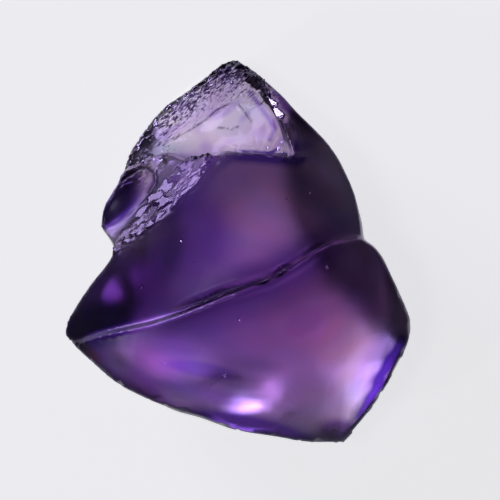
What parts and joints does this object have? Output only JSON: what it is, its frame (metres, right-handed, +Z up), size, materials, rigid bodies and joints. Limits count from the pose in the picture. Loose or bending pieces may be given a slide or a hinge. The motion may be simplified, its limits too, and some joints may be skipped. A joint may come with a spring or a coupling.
{
  "type": "rough alexandrite",
  "caption": "Loose rough gemstone: a see-through violet crystal fragment with frosted worn skin, a fresh glassy break at its pointed end and a flat back to lie on.",
  "frame": {"origin": "under the middle of the stone's box, on the surface it lies on", "axes": "+X across the stone, +Y from its blunt end to its pointed end, +Z up out of the surface it lies on"},
  "size_m": [0.0168, 0.0188, 0.0075],
  "materials": {
    "violet_crystal": "clear violet crystal, frosted where its skin is worn and glassy where it is freshly broken"
  },
  "bodies": {
    "root": {"alexandrite_crystal": "violet_crystal"}
  },
  "joints": []
}
